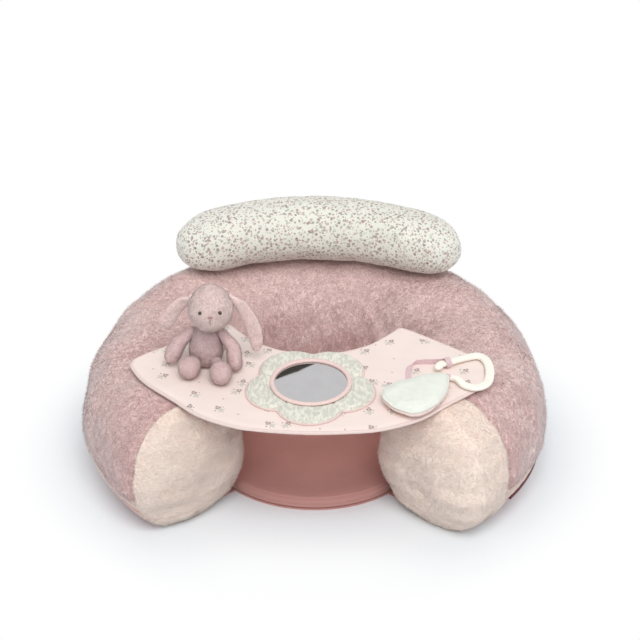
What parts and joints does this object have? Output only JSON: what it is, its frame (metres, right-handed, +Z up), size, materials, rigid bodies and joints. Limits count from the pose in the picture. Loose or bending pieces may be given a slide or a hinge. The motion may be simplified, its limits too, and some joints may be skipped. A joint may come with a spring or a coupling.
{
  "type": "baby floor seat",
  "caption": "Horseshoe floor seat for a baby: plush air cushion with padded floor, lift-off toy tray with flower mirror, bunny and leaf toy, and a bolster on its back.",
  "frame": {"origin": "on the floor, at the centre of the horseshoe's plan circle", "axes": "+Z up, the open front with the leg gap faces -Y, the bolster is at +Y, +X is to the right seen from the front"},
  "size_m": [0.6589, 0.5685, 0.3193],
  "materials": {
    "air_film": "clear smooth film",
    "valve_plastic": "satin",
    "mauve_plush": "short soft plush pile",
    "cream_plush": "short soft plush pile",
    "rose_cloth": "smooth brushed cloth",
    "sand_cloth": "smooth brushed cloth",
    "base_cloth": "non-slip dotted cloth",
    "foam": "open foam",
    "zip_tape": "woven tape",
    "zip_coil": "moulded coil",
    "zip_metal": "plated",
    "hook_and_loop": "hook and loop",
    "tray_print": "printed cotton",
    "tray_board": "foam board",
    "tray_backing": "smooth cloth",
    "pink_binding": "folded cotton",
    "ribbon": "satin",
    "sage_plush": "dimpled short plush",
    "pink_backing": "cotton",
    "rim_cloth": "folded cotton ring",
    "mirror": "safety mirror film",
    "bolster_print": "printed cotton with small flecks",
    "filling": "loose fibre",
    "bunny_plush": "short soft plush pile",
    "bunny_pale_plush": "short soft plush pile",
    "eye": "embroidered dark thread",
    "nose": "embroidered thread",
    "cream_plastic": "satin moulded",
    "mint_cloth": "smooth jersey"
  },
  "bodies": {
    "seat": {"air_chamber": "air_film", "valve_body": "valve_plastic", "back_cover": "mauve_plush", "arm_end_left": "cream_plush", "arm_end_right": "cream_plush", "seat_lining": "rose_cloth", "side_band": "sand_cloth", "base_band": "rose_cloth", "base_panel": "base_cloth", "floor_foam": "foam", "floor_cover": "rose_cloth", "zip_tape": "zip_tape", "zip_coil": "zip_coil", "seat_patches": "hook_and_loop"},
    "valve_cap": {"valve_cap": "valve_plastic"},
    "zip_slider": {"zip_slider": "zip_metal", "slider_pin": "zip_metal"},
    "zip_pull": {"zip_pull": "zip_metal"},
    "tray": {"tray_top": "tray_print", "tray_board": "tray_board", "tray_underside": "tray_backing", "tray_binding": "pink_binding", "tray_patches": "hook_and_loop", "ribbon_loop": "ribbon"},
    "flower_mirror": {"flower_front": "sage_plush", "flower_backing": "pink_backing", "mirror_rim": "rim_cloth", "mirror_plate": "mirror"},
    "bolster": {"bolster_cover": "bolster_print", "bolster_filling": "filling"},
    "bunny": {"bunny_body": "bunny_plush", "bunny_head": "bunny_pale_plush", "bunny_eyes": "eye", "bunny_nose": "nose"},
    "ear_left": {"ear_left": "bunny_pale_plush"},
    "ear_right": {"ear_right": "bunny_pale_plush"},
    "arm_left": {"arm_left": "bunny_plush"},
    "arm_right": {"arm_right": "bunny_plush"},
    "leg_left": {"leg_left": "bunny_plush"},
    "leg_right": {"leg_right": "bunny_plush"},
    "link": {"toy_link": "cream_plastic"},
    "leaf": {"leaf_toy": "mint_cloth", "leaf_tab": "pink_binding"}
  },
  "joints": [
    {"name": "valve_cap_turn", "type": "hinge", "parent": "seat", "child": "valve_cap", "pos_m": [0, 0.3235, 0.074], "axis": [0, 1, 0], "range_deg": [0, 90]},
    {"name": "zip_run", "type": "hinge", "parent": "seat", "child": "zip_slider", "pos_m": [0, 0, 0.04], "axis": [0, 0, -1], "range_deg": [0, 203]},
    {"name": "zip_pull_swing", "type": "hinge", "parent": "zip_slider", "child": "zip_pull", "pos_m": [-0.32722, 0.03681, 0.0382], "axis": [0.1118, 0.9937, 0], "range_deg": [0, 140]},
    {"name": "tray_lift", "type": "slide", "parent": "seat", "child": "tray", "axis": [0, 0, 1], "range_m": [0, 0.15]},
    {"name": "flower_lift", "type": "slide", "parent": "tray", "child": "flower_mirror", "axis": [0, -0.0872, 0.9962], "range_m": [0, 0.12]},
    {"name": "bolster_lift", "type": "slide", "parent": "seat", "child": "bolster", "axis": [0, 0, 1], "range_m": [0, 0.15]},
    {"name": "bunny_lift", "type": "slide", "parent": "tray", "child": "bunny", "axis": [0, 0, 1], "range_m": [0, 0.12]},
    {"name": "ear_left_swing", "type": "hinge", "parent": "bunny", "child": "ear_left", "pos_m": [-0.1646, -0.085, 0.29529], "axis": [0, 1, 0], "range_deg": [0, 35]},
    {"name": "ear_right_swing", "type": "hinge", "parent": "bunny", "child": "ear_right", "pos_m": [-0.1084, -0.085, 0.29529], "axis": [0, -1, 0], "range_deg": [0, 35]},
    {"name": "arm_left_swing", "type": "hinge", "parent": "bunny", "child": "arm_left", "pos_m": [-0.1642, -0.081, 0.24429], "axis": [0, 0, -1], "range_deg": [0, 25]},
    {"name": "arm_right_swing", "type": "hinge", "parent": "bunny", "child": "arm_right", "pos_m": [-0.1262, -0.081, 0.24429], "axis": [0, 0, 1], "range_deg": [0, 25]},
    {"name": "leg_left_lift", "type": "hinge", "parent": "bunny", "child": "leg_left", "pos_m": [-0.159, -0.092, 0.20529], "axis": [-1, 0, 0], "range_deg": [0, 20]},
    {"name": "leg_right_lift", "type": "hinge", "parent": "bunny", "child": "leg_right", "pos_m": [-0.133, -0.094, 0.20529], "axis": [-1, 0, 0], "range_deg": [0, 20]},
    {"name": "link_lift", "type": "hinge", "parent": "tray", "child": "link", "pos_m": [0.185, -0.08408, 0.20213], "axis": [-0.8572, -0.5131, -0.0449], "range_deg": [0, 70]},
    {"name": "leaf_lift", "type": "hinge", "parent": "link", "child": "leaf", "pos_m": [0.1825, -0.11782, 0.19768], "axis": [-1, 0, 0], "range_deg": [0, 60]}
  ]
}
